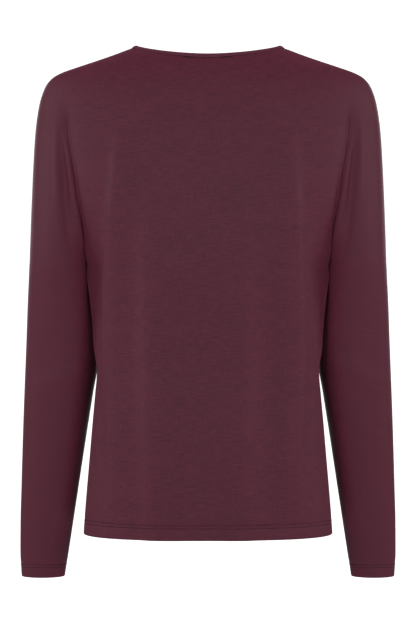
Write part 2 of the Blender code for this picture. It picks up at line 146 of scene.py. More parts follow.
# side: half the torso's width, at the edge over the fold above the underarm. back, front: its depth at the
# centre. seam: how far behind the middle the side seam hangs.
TORSO = Table(
    ("side", "back", "front", "seam"),
    [
        (0.0, 79.0, 42.0, 30.0, 0.0),
        (-4.5, 89.5, 49.5, 33.0, 0.0),
        (-12.0, 108.0, 60.0, 38.5, 0.0),
        (-20.0, 128.0, 68.0, 45.5, 0.0),
        (-28.0, 147.0, 73.5, 52.0, 0.0),
        (-36.0, 163.0, 78.0, 58.0, 0.0),
        (-43.0, 171.0, 81.5, 62.5, 0.0),
        (-55.0, 177.5, 86.5, 69.0, 0.0),
        (-78.0, 180.5, 93.5, 79.0, 0.0),
        (-113.0, 176.7, 101.0, 91.0, 0.0),
        (-157.0, 169.7, 107.0, 104.0, 0.0),
        (-201.0, 163.7, 110.5, 113.5, 0.0),
        (-240.0, 158.5, 112.0, 118.0, 0.0),
        (-280.0, 154.6, 111.5, 119.0, 0.0),
        (-285.0, 153.7, 111.3, 119.0, 0.1),
        (-300.0, 151.4, 110.5, 118.5, 1.5),
        (-330.0, 147.5, 108.0, 116.0, 4.0),
        (-363.0, 144.0, 106.0, 113.0, 5.0),
        (-409.0, 142.3, 105.0, 110.0, 5.0),
        (-448.0, 145.6, 107.0, 111.0, 4.0),
        (-489.0, 149.3, 110.0, 113.0, 4.0),
        (-530.0, 152.8, 112.5, 115.0, 3.0),
        (-572.0, 156.4, 114.5, 117.0, 3.0),
        (-613.0, 159.7, 116.5, 118.5, 2.0),
        (-629.3, 160.7, 117.0, 119.0, 2.0),
    ],
)

# inner: the sleeve's inner side from the middle plane. under, over: where its underarm and overarm lines hang
# (forward is negative). arm: half its depth.
SLEEVE = Table(
    ("inner", "under", "over", "arm"),
    [
        (-60.0, 94.0, 0.0, 0.0, 61.0),
        (-78.0, 97.0, 0.0, 0.0, 62.0),
        (-113.0, 104.0, 0.0, 0.0, 63.0),
        (-157.0, 118.0, 0.0, 0.0, 65.0),
        (-201.0, 135.0, 0.0, -1.0, 66.0),
        (-240.0, 147.5, 0.0, -3.5, 66.0),
        (-280.0, 154.6, 0.0, -8.5, 64.5),
        (-285.0, 155.1, -0.6, -9.4, 64.2),
        (-297.0, 153.7, -4.5, -11.8, 63.4),
        (-312.0, 151.6, -10.0, -15.0, 62.2),
        (-340.0, 147.6, -19.5, -21.5, 59.6),
        (-375.0, 143.4, -28.0, -28.5, 56.2),
        (-410.0, 144.3, -33.0, -33.0, 53.0),
        (-450.0, 150.7, -37.0, -37.0, 49.5),
        (-491.0, 157.4, -41.0, -41.0, 45.5),
        (-533.0, 164.0, -44.0, -44.0, 41.5),
        (-576.0, 170.6, -47.0, -47.0, 37.5),
        (-618.0, 177.1, -49.0, -49.0, 33.5),
        (-658.0, 183.3, -51.0, -51.0, 30.0),
        (-691.5, 188.7, -52.0, -52.0, 27.5),
    ],
)


def ease(start, end, value):
    """0 at start, 1 at end and smooth between."""
    t = min(1.0, max(0.0, (value - start) / (end - start)))
    return t * t * (3 - 2 * t)


def quarter(half_width, depth, angle):
    """A point of a section's quarter, from the depth axis (angle 0) to the width axis (pi / 2)."""
    power = 2 / SECTION_ROUND
    return half_width * math.sin(angle) ** power, depth * max(0.0, math.cos(angle)) ** power


def place(panel, x, away, height):
    """A point given by its distance from the middle plane towards the back or the front."""
    return Vector((x, away if panel == "back" else -away, height))


def fold_angle(height):
    return math.asin((TORSO.at("side", height) / OUTLINE.at("outer", height)) ** (SECTION_ROUND / 2))


def smooth_section(panel, height, share):
    """A point of the smooth curve over torso and arm. share runs from 0, the centre, to 1, the overarm."""
    turn = fold_angle(height)
    if share <= FOLD_SHARE:
        angle = turn * share / FOLD_SHARE
    else:
        angle = turn + (math.pi / 2 - turn) * (share - FOLD_SHARE) / (1 - FOLD_SHARE)
    return quarter(OUTLINE.at("outer", height), TORSO.at(panel, height), angle)


def edge_roll(panel, height, off):
    """How far the torso's edge hangs out, at a distance behind the fold or the side seam."""
    reaches = max(0.0, off) / (ROLL_REACH * (1 + ease(UNDERARM, ROLL_END[0], height)))
    return EDGE_ROLL[panel] * (1 - ease(*ROLL_END, height)) * reaches * math.exp(1 - reaches)


def split_section(panel, height, share):
    """The same point where torso and sleeve are two tubes, which meet in the hanging fold."""
    outer = OUTLINE.at("outer", height)
    inner = SLEEVE.at("inner", height)
    edge = TORSO.at("side", height)
    depth = TORSO.at(panel, height)
    arm = SLEEVE.at("arm", height)
    half = (outer - inner) / 2
    middle = (outer + inner) / 2
    meet = math.acos(max(-1.0, (edge - middle) / half))
    fold_depth = arm * math.sin(meet)
    if share <= FOLD_SHARE:
        last = math.acos((fold_depth / depth) ** (SECTION_ROUND / 2))
        side = edge / math.sin(last) ** (2 / SECTION_ROUND)
        x, y = quarter(side, depth, last * share / FOLD_SHARE)
        off = y - fold_depth
        x += edge_roll(panel, height, off)
    else:
        angle = meet * (1 - share) / (1 - FOLD_SHARE)
        x = middle + half * math.cos(angle)
        y = arm * math.sin(angle)
        off = x - edge
    y -= ease(UNDERARM, UNDERARM + FOLD_FADE, height) * FOLD_SINK * math.exp(-((off / FOLD_REACH) ** 2))
    return x, y


def yoke_point(panel, height, share):
    """A point of the form above the underarm."""
    point = smooth_section(panel, height, share)
    apart = ease(*SPLIT[panel], height)
    if apart > 0:
        split = split_section(panel, height, share)
        point = [s + (t - s) * apart for s, t in zip(point, split)]
    made = place(panel, *point, height)
    made.y += SLEEVE.at("over", height) * max(0.0, share - FOLD_SHARE) / (1 - FOLD_SHARE)
    return made


def torso_point(panel, height, share):
    """A point of the torso below the underarm; share is 0 at the centre and 1 at the side seam."""
    seam = TORSO.at("seam", height)
    depth = TORSO.at(panel, height) + (-seam if panel == "back" else seam)
    x, away = quarter(TORSO.at("side", height), depth, share * math.pi / 2)
    point = place(panel, x + edge_roll(panel, height, away), away, height)
    point.y += seam
    return point


def sleeve_point(panel, height, share):
    """A point of the left sleeve below the underarm; share is 0 on the underarm and 1 on the overarm."""
    outer = OUTLINE.at("outer", height)
    inner = SLEEVE.at("inner", height)
    under = SLEEVE.at("under", height)
    angle = math.pi * (1 - share)
    x = (outer + inner) / 2 + (outer - inner) / 2 * math.cos(angle)
    point = place(panel, x, SLEEVE.at("arm", height) * math.sin(angle), height)
    point.y += under + (SLEEVE.at("over", height) - under) * share
    return point


def neck_place(panel, angle):
    """Height and share, on that height's section, of a point of the neck's edge seen square on."""
    power = 2 / NECK_CURVE[panel]
    x = NECK_HALF * math.sin(angle) ** power
    height = -NECK_DROP[panel] * max(0.0, math.cos(angle)) ** power
    reach = math.asin(min(1.0, x / OUTLINE.at("outer", height)) ** (SECTION_ROUND / 2))
    turn = fold_angle(height)
    if reach <= turn:
        return height, FOLD_SHARE * reach / turn
    return height, FOLD_SHARE + (1 - FOLD_SHARE) * (reach - turn) / (math.pi / 2 - turn)


def run_lengths(points):
    """The length along a run of points up to each."""
    lengths = [0.0]
    for a, b in zip(points, points[1:]):
        lengths.append(lengths[-1] + (b - a).length)
    return lengths


def found(lengths, length):
    """The step in which a length falls, and how far into that step."""
    k = max(0, min(len(lengths) - 2, int(np.searchsorted(lengths, length)) - 1))
    return k, min(1.0, (length - lengths[k]) / (lengths[k + 1] - lengths[k]))


@lru_cache(maxsize=None)
def neck_edge(panel):
    places = [neck_place(panel, math.pi / 2 * k / PATH_STEPS) for k in range(PATH_STEPS + 1)]
    return places, run_lengths([yoke_point(panel, *spot) for spot in places])


@lru_cache(maxsize=None)
def yoke_path(panel, share):
    """The run of one column from the neck's edge to the underarm's level, and the length along it."""
    places, lengths = neck_edge(panel)
    k, t = found(lengths, share * lengths[-1])
    top, first = [a + (b - a) * t for a, b in zip(places[k], places[k + 1])]
    points = []
    for k in range(PATH_STEPS + 1):
        height = top + (UNDERARM - top) * k / PATH_STEPS
        fan = ease(top, FAN_END[panel], height)
        points.append(yoke_point(panel, height, first + (share - first) * fan))
    return points, run_lengths(points)


def along(panel, share, length):
    """The point at a length along a column's run from the neck's edge."""
    points, lengths = yoke_path(panel, share)
    k, t = found(lengths, length)
    return points[k].lerp(points[k + 1], t)


# ---- Folds and creases of the worn cloth -------------------------------------------------------------------
# Jersey this fine falls in long soft folds from the shoulders, sags into small ones beside the hanging fold
# under each arm, and gathers a little round the elbows and above the cuffs.

# Long folds and creases. inner and outer are a fold's half widths towards the centre and away from it, height
# is how far it stands out, and line gives x and height along it from its top.
CREASES = {
    # inner, outer, height, line
    ("back", "body"): (
        (22.0, 7.5, 9.0, ((111, -110), (119, -210), (123, -320), (123, -430), (118, -600))),
        (6.0, 6.0, -1.5, ((139, -200), (139, -300), (136, -420))),
        (38.0, 15.0, 12.0, ((75, -200), (72, -400), (68, -540), (63, -690))),
        (26.0, 9.0, 9.5, ((-102, -110), (-109, -210), (-113, -320), (-114, -430), (-109, -600))),
        (6.0, 6.0, -1.5, ((-138, -190), (-138, -300), (-135, -420))),
        (16.0, 14.0, -3.0, ((-80, -300), (-76, -640))),
        (30.0, 14.0, 7.5, ((-46, -250), (-44, -440), (-41, -680))),
        (30.0, 30.0, 1.5, ((20, -180), (12, -520))),
    ),
    ("back", "sleeve"): (
        (3.5, 5.0, 3.2, ((192, -104), (191.5, -150), (190, -215))),
        (3.5, 5.0, 2.8, ((-194, -98), (-192.5, -150), (-191, -205))),
        (7.0, 7.0, -6.0, ((187, -104), (181.5, -180), (175, -275))),
        (7.0, 7.0, -6.0, ((-188, -102), (-181.5, -180), (-174, -275))),
        (3.0, 3.4, 4.0, ((186, -112), (178.5, -142), (172, -189), (166, -227), (160, -262))),
        (3.0, 3.4, 4.0, ((-187, -112), (-179.5, -142), (-173, -189), (-166, -227), (-160, -262))),
        (16.0, 22.0, 6.5, ((176, -200), (173, -300), (172, -380), (180, -491), (192, -620))),
        (16.0, 22.0, 6.5, ((-176, -200), (-173, -300), (-172, -380), (-180, -491), (-191, -610))),
        (9.0, 10.0, 1.8, ((224, -250), (225, -340), (219, -470), (222, -600))),
        (9.0, 10.0, 1.8, ((-222, -270), (-226, -350), (-224, -470), (-226, -560))),
    ),
    ("front", "body"): (
        (24.0, 10.0, 4.0, ((112, -190), (118, -330), (112, -500))),
        (12.0, 24.0, 4.5, ((62, -330), (66, -660))),
        (24.0, 10.0, 4.2, ((-108, -180), (-116, -320), (-108, -470))),
        (24.0, 13.0, 3.6, ((-48, -360), (-60, -660))),
    ),
    ("front", "sleeve"): (
        (9.0, 9.0, 3.0, ((200, -150), (190, -262))),
        (9.0, 9.0, 3.2, ((-201, -140), (-189, -262))),
        (14.0, 16.0, 3.0, ((168, -260), (163, -400), (180, -560))),
        (14.0, 16.0, 3.0, ((-168, -250), (-163, -390), (-182, -570))),
    ),
}
CREASE_FULLNESS = 0.7  # below 1 a crease keeps its height for longer before it fades out at its ends

# Folds across the sleeves below the underarm, round the elbow
SLEEVE_FOLDS = (
    # x sign, height, climb towards the outer side, half height, height of fold
    (1, -372.0, 0.45, 13.0, 1.8),
    (1, -428.0, -0.50, 15.0, 2.4),
    (1, -486.0, 0.40, 15.0, 1.8),
    (-1, -362.0, 0.40, 14.0, 1.8),
    (-1, -420.0, -0.55, 15.0, 2.2),
    (-1, -492.0, 0.45, 16.0, 2.0),
)

# The torso's cloth ends at the hanging fold in a narrow lip, which runs on down its side until the arm parts
LIP = 3.0
LIP_TOP = (-72.0, -120.0)
LIP_TURN = (-235.0, -335.0)  # between these it passes from the fold to the torso's side
LIP_END = (-385.0, -430.0)
LIP_PLACE = (
    # where it lies and its half width, as shares of half the torso's round, above and below that turn
    (0.981, 0.0095),
    (0.885, 0.024),
)

STITCH_LINES = {"hem": (15.0, 18.9), "cuff": (13.5, 16.9)}  # the two needles' lines, above the turned edge
STITCH_SINK = 0.5
STITCH_SINK_HALF = 0.6
TUNNEL_LIFT = 0.25  # the cloth between the two lines
TUNNEL_HALF = 1.2
SEAM_SINK = 1.7  # how deep the cloth dips at the neck binding's seam
SEAM_SINK_AT = 7.9  # below the neck's edge
SEAM_SINK_HALF = 1.3


def crease_lift(spots, inner, outer, height, line):
    """How far a crease lifts the cloth at spots (x, height)."""
    line = np.array(line, float)
    steps = np.linalg.norm(np.diff(line, axis=0), axis=1)
    starts = np.cumsum(steps) - steps
    nearest = np.full(len(spots), np.inf)
    run = np.zeros(len(spots))
    half_width = np.full(len(spots), inner)
    for a, b, start, step in zip(line, line[1:], starts, steps):
        t = np.clip(((spots - a) @ (b - a)) / step**2, 0, 1)
        on_line = a + t[:, None] * (b - a)
        off = np.linalg.norm(spots - on_line, axis=1)
        nearer = off < nearest
        nearest = np.where(nearer, off, nearest)
        run = np.where(nearer, (start + t * step) / steps.sum(), run)
        beyond = np.abs(spots[:, 0]) > np.abs(on_line[:, 0])
        half_width = np.where(nearer, np.where(beyond, outer, inner), half_width)
    fade = np.sin(np.pi * run).clip(0) ** CREASE_FULLNESS
    return height * fade * np.exp(-((nearest / half_width) ** 2))


def lip_lift(height, share):
    """How far the lip lifts the back; share is 0 at the torso's centre and 1 at the fold or the side."""
    turn = ease(*LIP_TURN, height)
    middle, half = [a + (b - a) * turn for a, b in zip(*LIP_PLACE)]
    shown = ease(*LIP_TOP, height) * (1 - ease(*LIP_END, height))
    return LIP * shown * math.exp(-(((share - middle) / half) ** 2))


def band_lift(up, lines):
    """The relief of a twin-needled edge: two sunken lines and the tunnel between them."""
    lift = TUNNEL_LIFT * np.exp(-(((up - sum(lines) / 2) / TUNNEL_HALF) ** 2))
    for line in lines:
        lift -= (STITCH_SINK + TUNNEL_LIFT / 2) * np.exp(-(((up - line) / STITCH_SINK_HALF) ** 2))
    return lift


# ---- The net of the cloth ----------------------------------------------------------------------------------
# Back and front are first laid out as one net, so that folds run on over the seams. Its columns start at the
# neck binding; rows lie closer together at the underarm and at the sewn edges.

BODY_COLUMNS = 64
SLEEVE_COLUMNS = 46
YOKE_ROWS = 84
TORSO_ROWS = 92
SLEEVE_ROWS = 112
LAP = 1.7  # how far the cloth runs up inside the binding
CLOTH_TOP = BINDING_WIDTH - LAP  # below the neck's edge

# Above 1, rows lie closer together towards the underarm, the body's columns towards the fold, and the
# sleeve's columns towards the fold and the overarm
YOKE_CROWDING = 1.15
TORSO_CROWDING = 1.25
SLEEVE_CROWDING = 1.2
BODY_COLUMN_CROWDING = 1.3
SLEEVE_COLUMN_CROWDING = 1.25

BAND_TOP = (26.0, 22.8)  # rows over a sewn band, above its edge
LINE_ROWS = 0.7  # between a stitch line's own row and the ones beside it
BELOW_LINES = (2.0, 4.5, 8.0, 11.0)  # rows under the lower stitch line
EDGE_ROW = 0.75  # the last row, above the edge

SECTION_RUN = 330.0  # about how long half a section is, from the centre to the overarm
FOLD_HOLD = 6.0  # creases fade out this near to the hanging fold
# The share of a section from which creases fade out towards its seam
YOKE_GIVE = 0.93
TORSO_GIVE = 0.9
SLEEVE_GIVE = (0.12, 0.88)


def crowded(t):
    """A share of the sleeve's section, drawn towards the nearer of its two ends."""
    if t < 0.5:
        return 0.5 * (2 * t) ** SLEEVE_COLUMN_CROWDING
    return 1 - 0.5 * (2 - 2 * t) ** SLEEVE_COLUMN_CROWDING


COLUMN_SHARES = [
    FOLD_SHARE * (1 - (1 - k / BODY_COLUMNS) ** BODY_COLUMN_CROWDING) for k in range(BODY_COLUMNS)
] + [
    FOLD_SHARE + (1 - FOLD_SHARE) * crowded(k / SLEEVE_COLUMNS) for k in range(SLEEVE_COLUMNS + 1)
]
COLUMNS = len(COLUMN_SHARES) - 1


def tube_heights(bottom, lines, rows, crowding):
    """Heights of a tube's rows from the underarm down, closer together round its stitch lines."""
    lower, upper = lines
    band = [*BAND_TOP, upper + LINE_ROWS, upper, upper - LINE_ROWS, (lower + upper) / 2]
    band += [lower + LINE_ROWS, lower, lower - LINE_ROWS]
    band += [lower - below for below in BELOW_LINES] + [EDGE_ROW]
    top = bottom + band[0]
    plain = [UNDERARM + (top - UNDERARM) * (k / rows) ** crowding for k in range(1, rows)]
    return plain + [bottom + up for up in band]


class Net:
    """The cloth's outer face: places by name, rows of places for each panel and side, and their quads."""

    def __init__(self):
        self.index = {}
        self.points = []
        self.panels = []
        self.zones = []
        self.give = []
        self.below_neck = []
        self.round = []
        self.grids = []

    def add(self, key, point, sign, panel, zone, give, round_share, below_neck=math.inf):
        if key not in self.index:
            self.index[key] = len(self.points)
            self.points.append((point.x * sign, point.y, point.z))
            self.panels.append("seam" if key[0] == "seam" else panel)
            self.zones.append(zone)
            self.give.append(give)
            self.below_neck.append(below_neck)
            self.round.append(round_share)
        return self.index[key]


def lay_yoke(net, panel, sign):
    """Rows from the binding to the underarm's level."""
    grid = []
    for i in range(YOKE_ROWS + 1):
        down = 1 - (1 - i / YOKE_ROWS) ** YOKE_CROWDING
        row = []
        for j, share in enumerate(COLUMN_SHARES):
            total = yoke_path(panel, share)[1][-1]
            length = CLOTH_TOP + (total - CLOTH_TOP) * down
            point = along(panel, share, length)
            if j == 0:
                key = (panel, "centre", i)
            elif j == COLUMNS:
                key = ("seam", "over", sign, i)
            elif i == YOKE_ROWS and j == BODY_COLUMNS:
                key = ("seam", "underarm", sign)
            else:
                key = (panel, "yoke", sign, i, j)
            from_fold = (share - FOLD_SHARE) * SECTION_RUN
            held = ease(*SPLIT[panel], point.z) * math.exp(-((from_fold / FOLD_HOLD) ** 2))
            give = ease(1.0, YOKE_GIVE, share) * (1 - held)
            zone = "body" if j <= BODY_COLUMNS else "sleeve"
            row.append(net.add(key, point, sign, panel, zone, give, share / FOLD_SHARE, length))
        grid.append(row)
    net.grids.append((panel, sign, "yoke", grid))
    return grid[-1]


def lay_torso(net, panel, sign, first_row):
    grid = [first_row[: BODY_COLUMNS + 1]]
    for i, height in enumerate(tube_heights(HEM, STITCH_LINES["hem"], TORSO_ROWS, TORSO_CROWDING)):
        row = []
        for j, column_share in enumerate(COLUMN_SHARES[: BODY_COLUMNS + 1]):
            share = column_share / FOLD_SHARE
            key = ("seam", "side", sign, i) if j == BODY_COLUMNS else (panel, "torso", sign if j else 0, i, j)
            point = torso_point(panel, height, share)
            row.append(net.add(key, point, sign, panel, "body", ease(1.0, TORSO_GIVE, share), share))
        grid.append(row)
    net.grids.append((panel, sign, "torso", grid))


def lay_sleeve(net, panel, sign, first_row):
    grid = [first_row[BODY_COLUMNS:]]
    for i, height in enumerate(tube_heights(CUFF, STITCH_LINES["cuff"], SLEEVE_ROWS, SLEEVE_CROWDING)):
        row = []
        for j, column_share in enumerate(COLUMN_SHARES[BODY_COLUMNS:]):
            share = (column_share - FOLD_SHARE) / (1 - FOLD_SHARE)
            if j in (0, SLEEVE_COLUMNS):
                key = ("seam", "under" if j == 0 else "over", sign, YOKE_ROWS + 1 + i)
            else:
                key = (panel, "sleeve", sign, i, j)
            give = ease(0.0, SLEEVE_GIVE[0], share) * ease(1.0, SLEEVE_GIVE[1], share)
            point = sleeve_point(panel, height, share)
            row.append(net.add(key, point, sign, panel, "sleeve", give, math.inf))
        grid.append(row)
    net.grids.append((panel, sign, "sleeve", grid))


def quads_of(rows, outward):
    """Quads between rows of places, facing out of the cloth."""
    rows = np.array(rows)
    corners = [rows[:-1, :-1], rows[:-1, 1:], rows[1:, 1:], rows[1:, :-1]]
    if not outward:
        corners = corners[::-1]
    return np.stack(corners, axis=-1).reshape(-1, 4)


def faces_out(panel, sign):
    return (panel == "back") == (sign > 0)


def normals_of(points, quads):
    a, b, c, d = (points[quads[:, k]] for k in range(4))
    across = np.cross(c - a, d - b)
    normals = np.zeros_like(points)
    for k in range(4):
        np.add.at(normals, quads[:, k], across)
    return normals / np.linalg.norm(normals, axis=1)[:, None]


net = Net()
for panel in ("back", "front"):
    for sign in (1, -1):
        underarm_row = lay_yoke(net, panel, sign)
        lay_torso(net, panel, sign, underarm_row)
        lay_sleeve(net, panel, sign, underarm_row)
net_points = np.array(net.points)
net_panels = np.array(net.panels)
net_zones = np.array(net.zones)
net_quads = np.concatenate([quads_of(grid, faces_out(panel, sign)) for panel, sign, _, grid in net.grids])
net_normals = normals_of(net_points, net_quads)

lift = np.zeros(len(net_points))
for (panel, zone), creases in CREASES.items():
    on = (net_panels == panel) & (net_zones == zone)
    for crease in creases:
        lift[on] += crease_lift(net_points[on][:, [0, 2]], *crease)
sleeves = (net_zones == "sleeve") & (net_points[:, 2] < UNDERARM)
for k in np.flatnonzero(sleeves):
    x, _, z = net_points[k]
    half_width = (OUTLINE.at("outer", z) - SLEEVE.at("inner", z)) / 2
    across = abs(x) - SLEEVE.at("inner", z) - half_width
    for sign, middle, climb, half, height in SLEEVE_FOLDS:
        if sign * x > 0:
            off = z - middle - climb * across
            lift[k] += height * math.exp(-((off / half) ** 2)) * (1 - min(1, (across / half_width) ** 2))
lift *= np.array(net.give)
for k in np.flatnonzero((net_panels == "back") & (net_zones == "body")):
    lift[k] += lip_lift(net_points[k][2], net.round[k])
for k in range(len(net_points)):
    lift[k] -= SEAM_SINK * math.exp(-(((net.below_neck[k] - SEAM_SINK_AT) / SEAM_SINK_HALF) ** 2))
is_sleeve = net_zones == "sleeve"
lift += np.where(
    is_sleeve,
    band_lift(net_points[:, 2] - CUFF, STITCH_LINES["cuff"]),
    band_lift(net_points[:, 2] - HEM, STITCH_LINES["hem"]),
)
net_points += net_normals * lift[:, None]
net_normals = normals_of(net_points, net_quads)
for sign in (1, -1):
    net_normals[net.index[("seam", "underarm", sign)]] = (0, 0, -1)


# ---- Back and front ----------------------------------------------------------------------------------------
# Two panels of plum single jersey, sewn along the overarm and the side and underarm with the edges turned
# inside, and turned up at hem and cuffs under a twin-needle stitch.

CLOTH = 0.7  # thickness of the jersey
SEAM_GAP = 0.3
ALLOWANCE = (
    # along the cloth's outward direction and across the seam: how the edge rolls in and lies inside
    (-0.4, 0.35),
    (-1.1, SEAM_GAP / 2),
    (-3.2, SEAM_GAP / 2),
    (-5.4, SEAM_GAP / 2),
)
ROLL_DEPTH = 1.0  # of the edge where it rolls in at the seam; what lies further in can be pressed flat
PRESSED = 0.12  # what is left of the allowance's height where the binding, the hem or a cuff presses it
PRESS_FADE = (2.0, 16.0)  # above the sewn band, where the allowance starts to stand up and stands up fully
NECK_PRESSED = 0.15  # the same at the binding, and how much more stands up with each row down from it
NECK_PRESS_FADE = 0.1
TURN_STEPS = 5  # of the half round by which hem and cuffs turn inside
TURN_GAP = 0.1  # between the two layers
TURNED_RISE = (4.0, 9.0, 13.5, 15.0, 16.9, 18.9, 20.5)  # rows of the turned-in cloth above the edge
LEAN_ROWS = 17  # rows up from an edge, by which the turned-in cloth follows the outer one


def allowance_room(point, zone):
    """How much of the allowance's height is left over a hem or a cuff."""
    edge, band = (CUFF, CUFF_BAND) if zone == "sleeve" else (HEM, HEM_BAND)
    start, end = PRESS_FADE
    return PRESSED + (1 - PRESSED) * ease(edge + band + start, edge + band + end, point[2])


class Panel:
    """One panel's mesh: places of the net, and the added ones of its allowances and turned edges."""

    def __init__(self, name):
        self.name = name
        self.index = {}
        self.points = []
        self.cut = []
        self.quads = []

    def add(self, key, point, cut):
        if key not in self.index:
            self.index[key] = len(self.points)
            self.points.append(point)
            self.cut.append(cut)
        return self.index[key]

    def seam(self, k, cut, sign, near_binding):
        """The chain of points by which the cloth rolls in at a seam, outermost first."""
        point = net_points[k]
        normal = net_normals[k]
        across = np.array((0.0, 1.0 if self.name == "back" else -1.0, 0.0))
        across -= normal * (across @ normal)
        across /= np.linalg.norm(across)
        room = min(allowance_room(point, net_zones[k]), near_binding)
        chain = []
        for step, (out, aside) in enumerate(ALLOWANCE):
            reach = out if out > -ROLL_DEPTH else -ROLL_DEPTH + (out + ROLL_DEPTH) * room
            where = point + normal * reach + across * aside
            chain.append(self.add((k, "allowance", step), where, (cut[0] - sign * out, cut[1])))
        return chain


SLEEVE_TURN = 38.0  # degrees by which the sleeves' courses dip, as the cut's sleeves spread from the body
TURN_COLUMNS = 6  # the courses turn over this many columns from the fold
TURN_HEIGHTS = (-25.0, -110.0)  # and between these heights


def course_turn(point, j, kind):
    """How far the courses are turned from level at a place."""
    if kind == "torso" or (kind == "yoke" and j <= BODY_COLUMNS):
        return 0.0
    across = 1.0 if kind == "sleeve" else ease(0, TURN_COLUMNS, j - BODY_COLUMNS)
    return math.radians(SLEEVE_TURN) * across * ease(*TURN_HEIGHTS, point[2])


def cut_positions(grid, sign, kind, first):
    """Each place's position on the flat cloth, in mm: across from the centre line, and down from the neck.

    Every step between places is split into its part along the courses and its part down the wales.
    """
    positions = {}
    for i, row in enumerate(grid):
        for j, k in enumerate(row):
            if i == 0 and first:
                positions[k] = first[k]
                continue
            if i == 0 and j == 0:
                positions[k] = (0.0, net_points[k][2])
                continue
            before = row[j - 1] if i == 0 else grid[i - 1][j]
            step = net_points[k] - net_points[before]
            normal = net_normals[k]
            level = np.array((normal[1], -normal[0], 0.0))
            level /= max(1e-6, np.linalg.norm(level))
            if level[0] * sign < 0:
                level = -level
            down = np.cross(normal, level)
            if down[2] > 0:
                down = -down
            turn = course_turn(net_points[k], j, kind)
            course = level * math.cos(turn) + down * math.sin(turn)
            wale = down * math.cos(turn) - level * math.sin(turn)
            u, v = positions[before]
            positions[k] = (u + sign * float(step @ course), v - float(step @ wale))
    return positions


def make_panel(name):
    """The net's places on the panel, with its allowances along the seams and its turned edges."""
    panel = Panel(name)
    for sign in (1, -1):
        grids = {kind: grid for p, s, kind, grid in net.grids if (p, s) == (name, sign)}
        cuts = {"yoke": cut_positions(grids["yoke"], sign, "yoke", None)}
        for kind in ("torso", "sleeve"):
            cuts[kind] = cut_positions(grids[kind], sign, kind, cuts["yoke"])
        for kind, grid in grids.items():
            rows = []
            for i, row in enumerate(grid):
                stands = min(1.0, NECK_PRESSED + NECK_PRESS_FADE * i) if kind == "yoke" else 1.0
                made = []
                for j, k in enumerate(row):
                    cut = cuts[kind][k]
                    at_end = j == len(row) - 1
                    if net_panels[k] == "seam" and at_end:
                        made += panel.seam(k, cut, sign, stands)
                    elif net_panels[k] == "seam" and j == 0:
                        made += panel.seam(k, cut, -sign, stands)[::-1]
                    elif net_panels[k] == "seam":
                        made.append(panel.seam(k, cut, sign, stands)[0])
                    else:
                        made.append(panel.add(k, net_points[k], cut))
                rows.append(made)
            panel.quads.append(quads_of(rows, faces_out(name, sign)))
            if kind != "yoke":
                turn_edge(panel, kind, grid, rows[-1], sign)
    return panel


def lean(grid, column, height):
    """How far the cloth over an edge leans from its place at the edge, in x and y, at a height."""
    run = net_points[[row[column] for row in grid[: -LEAN_ROWS - 1 : -1]]]
    return [np.interp(height, run[:, 2], run[:, axis]) - run[0, axis] for axis in (0, 1)]


def turn_edge(panel, kind, grid, made, sign):
    """The edge's half round and the cloth turned up inside it."""
    inner = len(ALLOWANCE) - 1
    made = made[: len(made) - inner] if kind == "torso" else made[inner : len(made) - inner]
    radius = (2 * CLOTH + TURN_GAP) / 2
    bottom = HEM if kind == "torso" else CUFF
    rows = [made]
    turns = [math.pi * (k + 1) / TURN_STEPS for k in range(TURN_STEPS)]
    profile = [(radius * (math.cos(a) - 1), radius * (1 - math.sin(a))) for a in turns]
    profile += [(-2 * radius, up) for up in TURNED_RISE]
    for step, (out, up) in enumerate(profile):
        row = []
        for column, (k, index) in enumerate(zip(grid[-1], made)):
            point = panel.points[index] + net_normals[k] * out
            aside, away = lean(grid, column, bottom + up)
            point = np.array((point[0] + aside, point[1] + away, bottom + up))
            u, v = panel.cut[index]
            row.append(panel.add((k, kind, "turned", step), point, (u, v - 2 * radius - up)))
        rows.append(row)
    panel.quads.append(quads_of(rows, faces_out(panel.name, sign)))


def cloth_object(name, points, quads, cut):
    """A mesh of the points, with the flat cloth's positions as its UV map, in metres."""
    mesh = bpy.data.meshes.new(name)
    mesh.from_pydata((np.array(points) * MM).tolist(), [], quads.tolist())
    mesh.update()
    layer = mesh.uv_layers.new(name="cut")
    corners = np.zeros(len(mesh.loops), int)
    mesh.loops.foreach_get("vertex_index", corners)
    layer.data.foreach_set("uv", (np.array(cut)[corners] * MM).ravel())
    mesh.shade_smooth()
    made = bpy.data.objects.new(name, mesh)
    bpy.context.scene.collection.objects.link(made)
    wall = made.modifiers.new("thickness", "SOLIDIFY")
    wall.thickness = CLOTH * MM
    wall.offset = -1.0
    return made


def linear(colour):
    """A colour written as sRGB hex, such as "532b37", as linear red, green, blue and alpha."""
    parts = [int(colour[k : k + 2], 16) / 255 for k in (0, 2, 4)]
    return (*(c / 12.92 if c <= 0.04045 else ((c + 0.055) / 1.055) ** 2.4 for c in parts), 1.0)


def add_node(tree, kind, settings, inputs):
    """Adds a node with its settings. inputs are values, or sockets to link, by the input's name or index."""
    node = tree.nodes.new(kind)
    for name, value in settings.items():
        setattr(node, name, value)
    for name, value in inputs.items():
        if isinstance(value, bpy.types.NodeSocket):
            tree.links.new(value, node.inputs[name])
        else:
            node.inputs[name].default_value = value
    return node


GRAINS = (
    # length across and down the cloth, detail, share of the tone: level slubs, wales, and soft clouds
    (14.0, 1.2, 2.0, 0.75),
    (1.4, 12.0, 1.0, 0.35),
    (60.0, 16.0, 3.0, 0.2),
)
GRAIN_FADE = (135.0, 185.0)  # distances from the middle plane between which the grains fade on the sleeves
GRAIN_LEFT = 0.35
LOOP = (1.1, 0.9)  # across and down; the loops are 0.5 mm apart, and drawn wider, or they would not show
LOOP_RELIEF = 0.15


